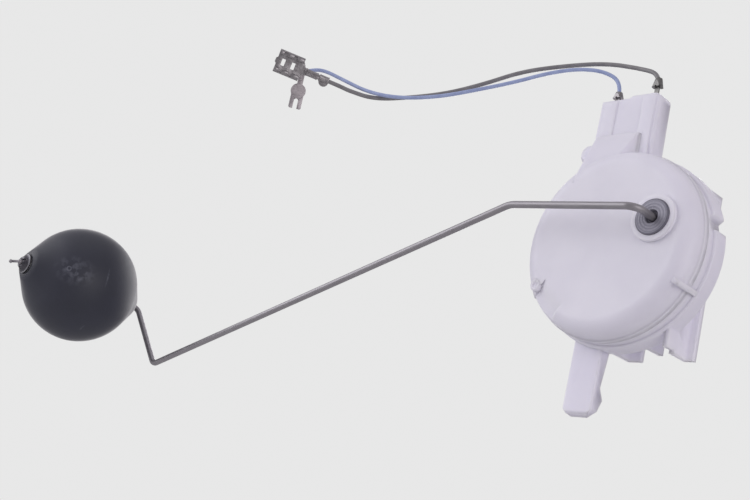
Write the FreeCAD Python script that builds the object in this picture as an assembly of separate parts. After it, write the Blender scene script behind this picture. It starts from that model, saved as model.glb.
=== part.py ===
import FreeCAD, Part
import math
import os
from FreeCAD import Vector, Placement

# Fuel tank level sender. Millimetres. The drum's axis runs along Y through x = z = 0.
# -Y is the front with the float arm, +Z is the neck, and y = 0 is the rear rail face.

# round housing
wall = 2.3                # side wall of the rear housing
railDepth = 7.3           # rail face to the back of the drum
backThick = 2.0           # back plate
rimR = 28.9               # outer radius of both halves beside the joint
bandProud = 1.1           # thick band round the back, beyond the rim
bandDepth = 5.6
bandEdge = 0.5            # chamfer of its edges
jointDepth = 8.7          # back of the drum to the joint of the two halves
lipProud = 0.45           # lip of the cover at the joint, beyond the rim
lipThick = 1.9
coverDepth = 7.9          # joint to the front face
faceRound = 5.0           # roundover of the front face
coverWall = 1.8
facetAngle = 228.0        # slanted facet on the roundover, beside the left snap arm
facetIn = 8.0             # rim to where the facet starts on the front face
facetSlope = 18.0
facetWide = 11.0
spigotDeep = 1.6
spigotWall = 1.2
fitGap = 0.1              # clearance of pieces that plug together

# pivot
pivotX, pivotZ = 16.3, 5.3
bossR = 7.0
bossFlare = 0.3
bossRise = 1.3            # boss above the front face
bushR = 5.5
bushRise = 0.6
bushBarrelR = 3.4
bushBarrelLong = 5.3
bushEdge = 0.35
bushSinkR, bushSink = 2.2, 1.2
rearBossR = 4.2
rearBossHigh = 3.0
rearBushR = 2.4
rearBushDeep = 2.6
rearBushFloor = 0.8

# float arm wire and float
wireR = 1.1
runClear = 0.06           # running clearance of the wire in its bushes
armOut = 7.8              # bush face to the middle of the wire
armRun = [(46.0, 175.6), (175.7, 198.6), (32.9, 134.9)]
armBend = [3.6, 9.0, 3.4, 3.3]
floatR = 22.3
floatGap = 0.5            # bend of the wire to the float
nubProud = 2.0            # end of each nub beyond the ball
nubTipR = 5.0
floatBoreClear = 0.08
nutR = 3.9
nutThick = 0.5
nutDome = 2.2
floatPlay = 0.3           # end of the nub to the push nut
tipOut = 4.4              # wire beyond the push nut
tipR = 0.5                # drawn-down end of the wire with its bead
tipDrop = 1.3             # the tip is bent down by this much
beadR, beadLong = 0.8, 1.0

# rotor inside the drum
hubR = 4.4
washerR, washerThick = 3.1, 0.5
endFloat = 0.1
collectorR, collectorThick = 3.4, 0.6
clipR, clipThick = 2.5, 0.5
wiperReach = 26.6
wiperRest = 196.0         # the half sweep points through the middle of the drum
wiperWide = 3.0
wiperThick = 0.3
wiperLift = 2.0           # joggle of the blade towards the card
bladeRoot, bladeTip, bladeEnd = 5.5, 5.0, 1.6   # flats at the hub and the contact, and beyond it
contactR = 1.0
contactHigh = 1.0
contactGap = 0.08
sweepUp, sweepDown = 36.0, 40.0
stopLugR, stopLugWide = 6.9, 3.0
stopLugThick = 1.8
stopPinR = 1.1
stopMargin = 0.4

# resistor card
cardBand = 4.6            # width of the card, radially
cardThick = 1.0
cardSpread = 40.5         # half angle of the wound part
cardEar = 6.5             # angle of each ear beyond the wound part
cardMargin = 1.5          # angle between the winding and each ear
windSkin = 0.25
windTurns = 42
cardPostHigh = 2.3
cardPostR = 2.1
screwR, screwHeadR, screwHeadHigh = 0.9, 1.8, 1.0
pilotDeep = 0.6           # screw holes into the back plate

# neck with the two contact strips
neckLeft, neckRight = -17.0, 4.5
neckFront, neckThick = -15.5, 6.0
neckHigh = 21.4           # rim to the top of the neck, on its low side
neckStep = 0.7            # the high side above it
neckStepX, neckStepWide = -7.0, 1.3
neckSpread = 0.4          # neck wider at its foot, each side
neckCorner, neckEdge = 2.6, 0.9
neckSkirt = 4.0
ribWide, ribRise, ribEnd = 5.0, 0.5, 0.8
earOut, earUp, earHigh = 4.3, 0.6, 5.8
earThick, earRound, earInset = 4.0, 2.7, 0.4
stripWide, stripThick = 3.0, 0.5
stripClear = 0.35
rootIn, rootAngle = 4.1, 56.8   # post of the ground spring, in from the wall of the drum
tabLow = 2.5              # neck top to the shoulder of each strip
linkUnder = 0.5           # wall of the drum to the link of the signal strip
signalX, groundX = -13.0, 1.0
linkRoom = 3.0            # pocket beside the strip for its link
springThick = 0.3
tabWide = 1.5
crimpLowR, crimpTopR = 1.75, 1.05
crimpFlat = 0.72
signalCrimpUp, signalCrimpHigh = 1.6, 2.1
groundCrimpUp, groundCrimpHigh = 2.8, 3.0

# shoulder of the cover over the foot of the neck
tongueLeft, tongueRight = -15.5, -5.0
tongueSpread = 5.5        # slope of its right side
tongueFootIn, tongueUp = 9.9, 8.1
tongueThin = 1.1
tongueEdge = 1.5

# leg with its barb
legLeft, legRight = -13.4, -3.2
legFront = -10.9
legReach = 20.7           # beyond the rim
legRootThick, legTipThick = 4.3, 2.8
barbUp, barbTipUp, barbOut = 9.2, 5.9, 2.1
legChamfer, legEdge = 2.2, 0.6
legBite = 0.2

# rear rails
railWeb = 1.6
railLip = 1.6             # thickness of the rail flanges
railFlange = 5.2
railNearX, railFarX = -0.9, 17.8
railFarFlange = 3.8
ribX = 9.4
ribBack = 0.6             # rib set back from the rail face
railNearDrop, railFarDrop = 1.2, 0.5
ribInset = 0.9
railTopIn = 9.9
railStop = 1.8
railHangUp = 1.0
railBite = 1.0            # rails sunk into the back

# snap arms and the notch of the band, angles from +X towards +Z
snapArms = [(-27.0, 1.6, 1.0, 6.5), (208.5, 5.0, 0.8, 3.2)]   # angle, width, rise, reach in front of the joint
snapRoot = 1.6
notchAngle, notchWide, notchDeep = 15.5, 5.4, 2.2

# leads and their terminals
blackR, blueR = 0.7, 0.625
spadeAlong = Vector(0.53, 0.84, -0.10)
faceNormal = Vector(0.75, -0.53, -0.39)
spadeLong, spadeWide = 8.9, 8.0
sheet = 0.4
curlR = 1.05
windowPlaces = [-2.2, 1.3]
windowLong, windowWide = 1.2, 2.3
curlCut = 0.95            # cuts of the curls beside the windows
noseLong = 0.5
spadeSeat = 11.0          # middle of the receptacle to the end of the lead
wingR = 1.7
forkDown = Vector(-0.298, 0.258, -0.919)
forkPlate = 0.5
forkStem, forkStemWide = 4.3, 1.9
forkR = 2.6
forkDisc = 4.9            # end of the stem to the slot
forkLong = 12.7
prongWide, prongPitch = 1.45, 2.9

blackRoute = [(1.0, -12.85, 54.6), (1.0, -12.85, 59.4), (-8.6, -12.4, 62.6), (-19.0, -14.9, 64.0),
              (-32.7, -19.9, 63.8), (-44.3, -25.6, 60.1), (-54.1, -31.4, 54.0), (-63.9, -37.9, 48.6),
              (-73.9, -44.8, 44.6), (-83.3, -51.4, 43.1), (-90.6, -56.6, 45.0), (-93.5, -58.1, 46.2),
              (-95.5, -61.3, 46.6), (-97.7, -64.8, 47.1)]
blueRoute = [(-13.0, -12.85, 52.7), (-13.0, -12.85, 57.9), (-18.9, -15.3, 61.7), (-25.5, -20.3, 61.4),
             (-33.9, -24.6, 59.0), (-42.6, -29.3, 55.0), (-52.0, -35.0, 50.4), (-62.5, -41.9, 46.0),
             (-73.1, -49.2, 43.3), (-85.0, -53.2, 45.5), (-96.1, -56.7, 50.5), (-102.9, -59.9, 53.1),
             (-106.4, -62.3, 52.6), (-108.1, -63.8, 51.4)]

# places that follow from the sizes, front of each piece towards -Y
bandR = rimR + bandProud
lipR = rimR + lipProud
cavityR = rimR - wall
neckTopLow = rimR + neckHigh
neckTopHigh = neckTopLow + neckStep
signalCrimpZ = neckTopLow + signalCrimpUp
groundCrimpZ = neckTopHigh + groundCrimpUp
linkTop = cavityR - linkUnder
legBottom = -rimR - legReach
barbZ, barbTipZ = legBottom + barbUp, legBottom + barbTipUp
railTop = rimR - railTopIn
tongueFoot, tongueTop = rimR - tongueFootIn, rimR + tongueUp
backY = -railDepth
plateY = backY - backThick
bandY = backY - bandDepth
jointY = backY - jointDepth
edgeY = jointY - coverDepth
bossY = edgeY - bossRise
bushY = bossY - bushRise
armY = bushY - armOut
cardBackY = plateY - cardPostHigh
stripBackY = cardBackY - cardThick
stripY = stripBackY - stripThick / 2
cardFrontY = stripBackY - windSkin
springBackY = stripBackY - stripThick
hubFrontY = bossY + bushBarrelLong + washerThick + endFloat
hubBackY = springBackY - springThick - contactGap - collectorThick
wiperTipY = cardFrontY - contactGap - contactHigh
wiperY = wiperTipY - wiperLift
stopY = hubBackY - 3.0
pivot = Vector(pivotX, 0, pivotZ)
Y = Vector(0, 1, 0)
Z = Vector(0, 0, 1)
X = Vector(1, 0, 0)


def box(x0, x1, y0, y1, z0, z1):
    return Part.makeBox(x1 - x0, y1 - y0, z1 - z0, Vector(x0, y0, z0))


def rod(radius, x, z, y0, y1):
    return Part.makeCylinder(radius, y1 - y0, Vector(x, y0, z), Y)


def cone(r0, r1, x, z, y0, y1):
    return Part.makeCone(r0, r1, y1 - y0, Vector(x, y0, z), Y)


def polar(radius, angle, x=0.0, z=0.0, y=0.0):
    a = math.radians(angle)
    return Vector(x + radius * math.cos(a), y, z + radius * math.sin(a))


def ring(outer, bore, y0, y1):
    """Flat ring about the pivot."""
    return rod(outer, pivotX, pivotZ, y0, y1).cut(rod(bore, pivotX, pivotZ, y0 - 1, y1 + 1))


def outline(points):
    """Flat face through the points."""
    return Part.Face(Part.makePolygon([Vector(*p) for p in points] + [Vector(*points[0])]))


def turned(profile):
    """Solid of revolution about the drum's axis, from (radius, y) points."""
    return outline([(r, y, 0) for r, y in profile]).revolve(Vector(0, 0, 0), Y, 360)


def along(angle, r0, r1, wide, y0, y1, x=0.0, z=0.0):
    """Bar that points away from an axis at the given angle."""
    bar = box(r0, r1, y0, y1, -wide / 2, wide / 2)
    bar.rotate(Vector(0, 0, 0), Y, -angle)
    bar.translate(Vector(x, 0, z))
    return bar


def sector(r0, r1, a0, a1, y0, y1, x, z):
    """Part of a flat ring about an axis along Y."""
    mid = (a0 + a1) / 2
    edges = [Part.Arc(polar(r1, a0, x, z, y0), polar(r1, mid, x, z, y0), polar(r1, a1, x, z, y0)).toShape(),
             Part.LineSegment(polar(r1, a1, x, z, y0), polar(r0, a1, x, z, y0)).toShape(),
             Part.Arc(polar(r0, a1, x, z, y0), polar(r0, mid, x, z, y0), polar(r0, a0, x, z, y0)).toShape(),
             Part.LineSegment(polar(r0, a0, x, z, y0), polar(r1, a0, x, z, y0)).toShape()]
    return Part.Face(Part.Wire(edges)).extrude(Vector(0, y1 - y0, 0))


def union(first, *others):
    return first.fuse(list(others)).removeSplitter()


def bentWire(points, radii):
    """Straight runs joined by tangent arcs of the given radii."""
    points = [Vector(*p) for p in points]
    start = points[0]
    edges = []
    for i in range(1, len(points) - 1):
        into = (points[i] - points[i - 1]).normalize()
        away = (points[i + 1] - points[i]).normalize()
        turn = into.getAngle(away)
        setback = radii[i - 1] * math.tan(turn / 2)
        a, b = points[i] - into * setback, points[i] + away * setback
        middle = (away - into).normalize()
        centre = points[i] + middle * (radii[i - 1] / math.cos(turn / 2))
        edges.append(Part.LineSegment(start, a).toShape())
        edges.append(Part.Arc(a, centre - middle * radii[i - 1], b).toShape())
        start = b
    edges.append(Part.LineSegment(start, points[-1]).toShape())
    return Part.Wire(edges)


def tube(path, radius):
    first = path.Edges[0]
    ring = Part.Wire(Part.makeCircle(radius, first.Vertexes[0].Point, first.tangentAt(first.FirstParameter)))
    return path.makePipeShell([ring], True, False)


def lead(name, route, radius):
    """Lead with the widest arcs that its route leaves room for."""
    points = [Vector(*p) for p in route]
    radii = []
    for i in range(1, len(points) - 1):
        into, away = points[i] - points[i - 1], points[i + 1] - points[i]
        radii.append(0.45 * min(into.Length, away.Length) / math.tan(into.getAngle(away) / 2))
    path = bentWire(route, radii)
    solid = tube(path, radius)
    print(name, "length %.1f" % path.Length, "radii", ["%.1f" % r for r in radii],
          "volume ratio %.4f" % (solid.Volume / (math.pi * radius ** 2 * path.Length)))
    return solid


def framed(shape, origin, xAxis, zAxis):
    """Moves a shape from its own axes to a place along xAxis that faces zAxis."""
    a = Vector(xAxis).normalize()
    across = zAxis.cross(a).normalize()
    n = a.cross(across)
    turn = FreeCAD.Matrix(a.x, across.x, n.x, origin.x, a.y, across.y, n.y, origin.y,
                          a.z, across.z, n.z, origin.z, 0, 0, 0, 1)
    shape.Placement = Placement(turn)
    return shape


def cover():
    flatR = rimR - faceRound
    inR = rimR - coverWall
    inRound = faceRound - coverWall
    lipY = jointY - lipThick
    bend = faceRound * math.sqrt(0.5)
    outer = [Part.LineSegment(Vector(0, jointY, 0), Vector(lipR, jointY, 0)).toShape(),
             Part.LineSegment(Vector(lipR, jointY, 0), Vector(lipR, lipY, 0)).toShape(),
             Part.LineSegment(Vector(lipR, lipY, 0), Vector(rimR, lipY, 0)).toShape(),
             Part.LineSegment(Vector(rimR, lipY, 0), Vector(rimR, edgeY + faceRound, 0)).toShape(),
             Part.Arc(Vector(rimR, edgeY + faceRound, 0), Vector(flatR + bend, edgeY + faceRound - bend, 0),
                      Vector(flatR, edgeY, 0)).toShape(),
             Part.LineSegment(Vector(flatR, edgeY, 0), Vector(0, edgeY, 0)).toShape(),
             Part.LineSegment(Vector(0, edgeY, 0), Vector(0, jointY, 0)).toShape()]
    shell = Part.Face(Part.Wire(outer)).revolve(Vector(0, 0, 0), Y, 360)
    innerY = edgeY + coverWall
    hollow = turned([(0, jointY), (inR, jointY), (inR, innerY + inRound), (inR - inRound, innerY), (0, innerY)])
    spigotR = cavityR - fitGap
    low = spigotR - spigotWall
    spigot = turned([(low, lipY), (inR + 0.5, lipY), (inR + 0.5, jointY), (spigotR, jointY),
                     (spigotR, jointY + spigotDeep), (low, jointY + spigotDeep)])
    boss = cone(bossR, bossR + bossFlare, pivotX, pivotZ, bossY, innerY)
    seat = rod(bushBarrelR, pivotX, pivotZ, bossY - 1, innerY + 3)
    shell = shell.fuse(tongue()).cut(hollow).cut(facet()).fuse([spigot, boss]).cut(seat)
    for angle, wide, rise, reach in snapArms:
        arm = along(angle, rimR - snapRoot, rimR + rise, wide, jointY - reach, bandY - fitGap)
        groove = along(angle, rimR - snapRoot - 1, rimR + fitGap / 2, wide + 1, jointY, bandY)
        shell = shell.fuse(arm.cut(groove))
    return shell.removeSplitter()


def facet():
    """Wedge that cuts the slanted facet out of the roundover."""
    start, end = rimR - facetIn, rimR + facetIn
    slope = (end - start) * math.tan(math.radians(facetSlope))
    wedge = outline([(start, edgeY - 1, 0), (start, edgeY, 0), (end, edgeY + slope, 0), (end, edgeY - 1, 0)])
    wedge = wedge.extrude(Vector(0, 0, facetWide))
    wedge.translate(Vector(0, 0, -facetWide / 2))
    wedge.rotate(Vector(0, 0, 0), Y, -facetAngle)
    return wedge


def tongue():
    """Slanted shoulder of the cover that runs up over the foot of the neck."""
    back = jointY - lipThick / 2
    rear = neckFront - ribRise - fitGap
    wide = tongueRight + tongueSpread
    side = outline([(tongueLeft, back, rimR - lipThick), (tongueLeft, edgeY, tongueFoot),
                    (tongueLeft, edgeY, tongueFoot + tongueEdge), (tongueLeft, rear - tongueThin, tongueTop),
                    (tongueLeft, rear, tongueTop), (tongueLeft, rear, rimR)])
    plan = outline([(tongueLeft, rear + 1, 0), (tongueLeft, edgeY, 0), (tongueRight, edgeY, 0),
                    (wide, rear, 0), (wide, rear + 1, 0)])
    block = side.extrude(Vector(wide - tongueLeft, 0, 0)).common(plan.extrude(Vector(0, 0, tongueTop + 1)))
    slant = [e for e in block.Edges if e.BoundBox.YLength > 5 and e.BoundBox.ZMax > tongueTop - 2
             and e.BoundBox.ZMin > tongueFoot + tongueEdge / 2]
    return block.makeFillet(tongueThin * 0.8, slant)


def frontBush():
    shape = rod(bushR, pivotX, pivotZ, bushY, bossY)
    shape = shape.makeChamfer(bushEdge, [e for e in shape.Edges
                                         if e.BoundBox.YLength < 1e-6 and abs(e.BoundBox.YMin - bushY) < 1e-6])
    barrel = rod(bushBarrelR, pivotX, pivotZ, bossY, bossY + bushBarrelLong)
    bore = rod(wireR + runClear, pivotX, pivotZ, bushY - 1, bossY + bushBarrelLong + 1)
    sink = rod(bushSinkR, pivotX, pivotZ, bushY - 1, bushY + bushSink)
    return union(shape, barrel).cut(bore).cut(sink)


def rearBush():
    front = plateY - rearBossHigh
    shape = rod(rearBushR, pivotX, pivotZ, front, front + rearBushDeep)
    return shape.cut(rod(wireR + runClear, pivotX, pivotZ, front - 1, front + rearBushDeep - rearBushFloor))


def wallZ(x):
    """Height of the middle of the drum's wall at a place across it."""
    return math.sqrt((rimR - wall / 2) ** 2 - x ** 2)


def housing():
    body = turned([(0, backY), (bandR - bandEdge, backY), (bandR, backY - bandEdge), (bandR, bandY + bandEdge),
                   (bandR - bandEdge, bandY), (rimR, bandY), (rimR, jointY), (cavityR, jointY), (cavityR, plateY),
                   (0, plateY)])
    body = body.fuse([neck(), ear()])
    body = body.cut(rod(cavityR, 0, 0, edgeY, plateY))
    adds = [rod(rearBossR, pivotX, pivotZ, plateY - rearBossHigh, plateY), leg(), *rails()]
    for angle in cardAngles():
        place = polar(wiperReach, angle, pivotX, pivotZ)
        adds.append(rod(cardPostR, place.x, place.z, plateY - cardPostHigh, plateY))
    for angle in stopAngles():
        place = polar(stopLugR - stopPinR, angle, pivotX, pivotZ)
        adds.append(rod(stopPinR, place.x, place.z, stopY, plateY))
    adds.append(rod(cardPostR, springRoot().x, springRoot().z, stripBackY, plateY))
    body = body.fuse(adds)
    cuts = [rod(rearBushR, pivotX, pivotZ, plateY - rearBossHigh - 1, plateY - rearBossHigh + rearBushDeep)]
    y0, y1 = stripY - stripThick / 2 - stripClear, stripY + stripThick / 2 + stripClear
    slotLow = cavityR - 2 * stripWide
    for x, top in ((signalX, neckTopLow), (groundX, neckTopHigh)):
        half = stripWide / 2 + stripClear
        cuts.append(box(x - half, x + half, y0, y1, slotLow, top - tabLow))
        half = tabWide / 2 + stripClear
        cuts.append(box(x - half, x + half, y0, y1, top - tabLow - 1, top + 1))
    # pocket in the foot of the neck for the link from the card to the strip
    cuts.append(box(signalX - stripWide / 2 - stripClear, signalX + stripWide / 2 + linkRoom, y0, y1, slotLow,
                    linkTop + stripClear))
    for angle in cardAngles():
        place = polar(wiperReach, angle, pivotX, pivotZ)
        cuts.append(rod(screwR, place.x, place.z, plateY - cardPostHigh - 1, plateY + pilotDeep))
    root = springRoot()
    cuts.append(rod(screwR, root.x, root.z, stripBackY - 1, plateY + pilotDeep))
    a, b, slant = -notchWide / 2, notchWide / 2, notchDeep / 2
    notch = outline([(bandR + notchDeep, bandY - 1, a - slant), (bandR - notchDeep, bandY - 1, a + slant),
                     (bandR - notchDeep, bandY - 1, b - slant), (bandR + notchDeep, bandY - 1, b + slant)])
    notch = notch.extrude(Vector(0, bandDepth + 2, 0))
    notch.rotate(Vector(0, 0, 0), Y, -notchAngle)
    cuts.append(notch)
    return body.cut(cuts).removeSplitter()


def neck():
    back = neckFront + neckThick
    foot = wallZ(neckLeft)
    profile = outline([(neckLeft - neckSpread, neckFront, foot), (neckLeft, neckFront, neckTopLow),
                       (neckStepX, neckFront, neckTopLow),
                       (neckStepX + neckStepWide, neckFront, neckTopHigh), (neckRight, neckFront, neckTopHigh),
                       (neckRight + neckSpread, neckFront, foot)])
    block = profile.extrude(Vector(0, neckThick, 0))
    corner = [e for e in block.Edges if e.BoundBox.YLength > neckThick - 0.1
              and e.BoundBox.ZMin > neckTopHigh - 0.1 and e.BoundBox.XMin > neckRight - 0.1]
    block = block.makeFillet(neckCorner, corner)
    front = [e for e in block.Edges if e.BoundBox.YMax < neckFront + 0.01 and e.BoundBox.ZMax > foot + 1]
    block = block.makeFillet(neckEdge, front)
    ribs = []
    for x, top in ((signalX, neckTopLow), (groundX, neckTopHigh)):
        rib = box(x - ribWide / 2, x + ribWide / 2, neckFront - ribRise, neckFront + ribRise, foot, top - ribEnd)
        rib = rib.makeChamfer(ribRise * 0.9, [e for e in rib.Edges if e.BoundBox.YMax < neckFront - ribRise + 0.01])
        ribs.append(rib)
    low = box(neckLeft + neckEdge, neckRight - neckEdge, jointY, back, foot, rimR + neckSkirt)
    return block.fuse(ribs + [low])


def ear():
    y0 = neckFront + earInset
    low = rimR + earUp
    block = box(neckLeft - earOut, neckLeft + 1, y0, y0 + earThick, low, low + earHigh)
    corner = [e for e in block.Edges if e.BoundBox.YLength > earThick - 0.1 and e.BoundBox.XMax < neckLeft - 1]
    return block.makeFillet(min(earRound, 0.48 * earHigh), corner)


def leg():
    back = legFront + legRootThick
    tip = legFront + legTipThick
    top = -cavityR - legBite
    side = outline([(legLeft, legFront, top), (legLeft, back, top), (legLeft, back, -rimR),
                    (legLeft, tip, barbZ), (legLeft, tip + barbOut, barbTipZ),
                    (legLeft, legFront + legChamfer, legBottom), (legLeft, legFront, legBottom + legEdge)])
    block = side.extrude(Vector(legRight - legLeft, 0, 0))
    long = [e for e in block.Edges if e.BoundBox.YMax < legFront + 0.01 and e.BoundBox.ZLength > barbUp]
    block = block.makeFillet(legEdge, long)
    trim = []
    for x, inward in ((legLeft, 1), (legRight, -1)):
        corner = outline([(x - inward, legFront - 1, legBottom - 1), (x + inward * legChamfer, legFront - 1, legBottom - 1),
                          (x + inward * legChamfer, legFront - 1, legBottom),
                          (x, legFront - 1, legBottom + legChamfer),
                          (x - inward, legFront - 1, legBottom + legChamfer)])
        trim.append(corner.extrude(Vector(0, legRootThick + barbOut + 5, 0)))
    return block.cut(trim)


def rails():
    made = []
    nearLow, farLow = -rimR - railNearDrop, -rimR - railFarDrop
    for x, flange, low in ((railNearX, railFlange, nearLow), (railFarX, railFarFlange, farLow)):
        web = box(x, x + railWeb, backY - railBite, 0, low, railTop)
        lip = box(x, x + flange, -railLip, 0, low, railTop)
        lip = lip.makeChamfer(railLip * 0.3, [e for e in lip.Edges if e.BoundBox.YLength < 0.01
                                              and e.BoundBox.XMin > x + flange - 0.01 and e.BoundBox.YMin < -0.1])
        end = box(x, x + flange, backY - railBite, 0, railTop, railTop + railStop)
        made += [web, lip, end]
    made.append(box(ribX, ribX + railWeb, backY - railBite, -ribBack, -rimR + ribInset, railTop + railStop))
    hang = [box(x, x + railWeb, bandY + railBite, backY, low, -wallZ(x))
            for x, low in ((railNearX, nearLow), (railFarX, farLow + railHangUp))]
    return made + hang


def cardAngles():
    middle = wiperRest + (sweepDown - sweepUp) / 2
    ear = cardSpread + cardEar / 2 + cardMargin
    return [middle - ear, middle + ear]


def stopAngles():
    """The two stop pins beside the lug, each just beyond the end of the sweep."""
    half = math.degrees((stopLugWide / 2 + stopPinR + stopMargin) / (stopLugR - stopPinR))
    return [-sweepUp - half, sweepDown + half]


def springRoot():
    return polar(cavityR - rootIn, rootAngle)


def floatPlace():
    spots = [Vector(pivotX, armY, pivotZ)]
    for length, angle in armRun:
        spots.append(spots[-1] + polar(length, angle))
    return spots


def floatY():
    """Middle of the float on its wire."""
    return armY - armBend[-1] - floatGap - floatR - nubProud


def nutY():
    """Back of the push nut, just clear of the front nub."""
    return floatY() - floatR - nubProud - floatPlay


def floatArm():
    """Bent wire, drawn down to a thin tip with a bead beyond the push nut."""
    spots = floatPlace()
    at = spots[-1]
    inner = Vector(pivotX, plateY - rearBossHigh + rearBushDeep - rearBushFloor - endFloat, pivotZ)
    shoulder = Vector(at.x, nutY() - nutDome - nutThick, at.z)
    wire = tube(bentWire([inner] + spots + [shoulder], armBend), wireR)
    end = Vector(at.x, nutY() - nutDome - tipOut, at.z - tipDrop)
    lean = (end - shoulder).normalize()
    reach = (end - shoulder).Length
    return union(wire, cone(tipR, wireR, at.x, at.z, shoulder.y - wireR + tipR, shoulder.y),
                 Part.makeCylinder(tipR, reach, shoulder, lean),
                 Part.makeCone(tipR, beadR, beadLong / 2, end - lean * beadLong, lean),
                 Part.makeCone(beadR, tipR, beadLong / 2, end - lean * beadLong / 2, lean))


def floatBall():
    """Ball whose two nubs leave it as cones that touch it all round."""
    at, y = floatPlace()[-1], floatY()
    end = floatR + nubProud
    lean = math.atan2(nubTipR, end) + math.acos(floatR / math.hypot(nubTipR, end))
    baseR, base = floatR * math.sin(lean), floatR * math.cos(lean)
    ball = Part.makeSphere(floatR, Vector(at.x, y, at.z), Y)
    nubs = [cone(nubTipR, baseR, at.x, at.z, y - end, y - base), cone(baseR, nubTipR, at.x, at.z, y + base, y + end)]
    bore = rod(wireR + floatBoreClear, at.x, at.z, y - end - 1, y + end + 1)
    return union(ball, *nubs).cut(bore)


def pushNut():
    at, back = floatPlace()[-1], nutY()
    outer = [(wireR, back - nutDome), (wireR + 0.9, back - nutDome), (nutR - 0.9, back - 0.9), (nutR, back - nutThick),
             (nutR, back), (nutR - 0.9, back), (wireR + 0.9, back - nutDome + nutThick),
             (wireR, back - nutDome + nutThick)]
    shape = outline([(r, y, 0) for r, y in outer]).revolve(Vector(0, 0, 0), Y, 360)
    shape.translate(Vector(at.x, 0, at.z))
    slots = [along(a, wireR - 0.2, nutR - 1.4, 0.6, back - nutDome - 1, back + 1, at.x, at.z) for a in (30, 150, 270)]
    return shape.cut(slots)


def rotorHub():
    hub = rod(hubR, pivotX, pivotZ, hubFrontY, hubBackY)
    flange = rod(hubR + 1.0, pivotX, pivotZ, hubFrontY + 0.6, hubFrontY + 1.4)
    lug = along(0, 0, stopLugR, stopLugWide, stopY - 0.4, stopY - 0.4 + stopLugThick, pivotX, pivotZ)
    pad = along(wiperRest, 0, hubR + 4.0, wiperWide + 1.0, wiperY, hubBackY, pivotX, pivotZ)
    return union(hub, flange, lug, pad).cut(rod(wireR, pivotX, pivotZ, hubFrontY - 1, hubBackY + 1))


def wiperBlade():
    """Spring blade with a joggle, flat on the hub's pad and on the contact."""
    path = [(hubR - 0.3, wiperY), (hubR + bladeRoot, wiperY), (wiperReach - bladeTip, wiperTipY),
            (wiperReach + bladeEnd, wiperTipY)]
    edge = [(r, y, -wiperWide / 2) for r, y in path] + [(r, y - wiperThick, -wiperWide / 2) for r, y in path[::-1]]
    blade = outline(edge).extrude(Vector(0, 0, wiperWide))
    slot = box(hubR + bladeRoot + 1, wiperReach - bladeTip + 2, wiperY - 5, wiperTipY + 5, -0.4, 0.4)
    hole = rod(contactR * 0.6, wiperReach, 0, wiperTipY - 2, wiperTipY + 2)
    ring = rod(hubR, 0, 0, wiperY - 4, wiperY + 4)
    blade = blade.cut([slot, hole, ring])
    blade.rotate(Vector(0, 0, 0), Y, -wiperRest)
    blade.translate(pivot)
    return blade


def wiperContact():
    place = polar(wiperReach, wiperRest, pivotX, pivotZ)
    stem = rod(contactR * 0.6, place.x, place.z, wiperTipY - wiperThick, wiperTipY)
    head = rod(contactR, place.x, place.z, wiperTipY, wiperTipY + contactHigh)
    rivet = rod(contactR * 0.9, place.x, place.z, wiperTipY - wiperThick - 0.5, wiperTipY - wiperThick)
    return union(stem, head, rivet)


def resistorCard():
    middle = sum(cardAngles()) / 2
    y1 = plateY - cardPostHigh
    spread = cardSpread + cardEar + cardMargin
    card = sector(wiperReach - cardBand / 2, wiperReach + cardBand / 2, middle - spread, middle + spread,
                  y1 - cardThick, y1, pivotX, pivotZ)
    holes = []
    for angle in cardAngles():
        place = polar(wiperReach, angle, pivotX, pivotZ)
        holes.append(rod(screwR, place.x, place.z, y1 - cardThick - 1, y1 + 1))
    return card.cut(holes)


def winding():
    middle = sum(cardAngles()) / 2
    y1 = plateY - cardPostHigh
    half = cardBand / 2
    r0, r1 = wiperReach - half, wiperReach + half
    a0, a1 = middle - cardSpread, middle + cardSpread
    sleeve = sector(r0 - windSkin, r1 + windSkin, a0, a1, y1 - cardThick - windSkin, y1 + windSkin, pivotX, pivotZ)
    sleeve = sleeve.cut(sector(r0, r1, a0 - 1, a1 + 1, y1 - cardThick, y1, pivotX, pivotZ))
    step = 2 * cardSpread / windTurns
    gaps = [along(a0 + step * (i + 0.5), r0 - 1, r1 + 1, 0.12, y1 + windSkin - 0.1, y1 + 2, pivotX, pivotZ)
            for i in range(windTurns)]
    return sleeve.cut(gaps)


def cardScrew(angle, under):
    """Screw of the card, over what lies under its head."""
    place = polar(wiperReach, angle, pivotX, pivotZ)
    y1 = stripBackY - under
    head = rod(screwHeadR, place.x, place.z, y1 - screwHeadHigh, y1)
    stem = rod(screwR - 0.05, place.x, place.z, y1, plateY + 0.4)
    slot = box(place.x - screwHeadR - 1, place.x + screwHeadR + 1, y1 - screwHeadHigh - 1, y1 - screwHeadHigh + 0.4,
               place.z - 0.25, place.z + 0.25)
    return union(head, stem).cut(slot)


def groundSpring():
    """Flat finger from its post over to the collector ring."""
    root = springRoot()
    toward = math.degrees(math.atan2(pivotZ - root.z, pivotX - root.x))
    reach = math.hypot(pivotX - root.x, pivotZ - root.z) - clipR - 0.35
    finger = along(toward, 0, reach, 1.6, springBackY - springThick, springBackY, root.x, root.z)
    pad = rod(cardPostR, root.x, root.z, springBackY - springThick, springBackY)
    return union(finger, pad).cut(rod(screwR, root.x, root.z, springBackY - 1, springBackY + 1))


def springRivet():
    root, y1 = springRoot(), springBackY - springThick
    return union(rod(screwHeadR, root.x, root.z, y1 - 0.6, y1), rod(screwR - 0.05, root.x, root.z, y1, plateY + 0.4))


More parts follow.
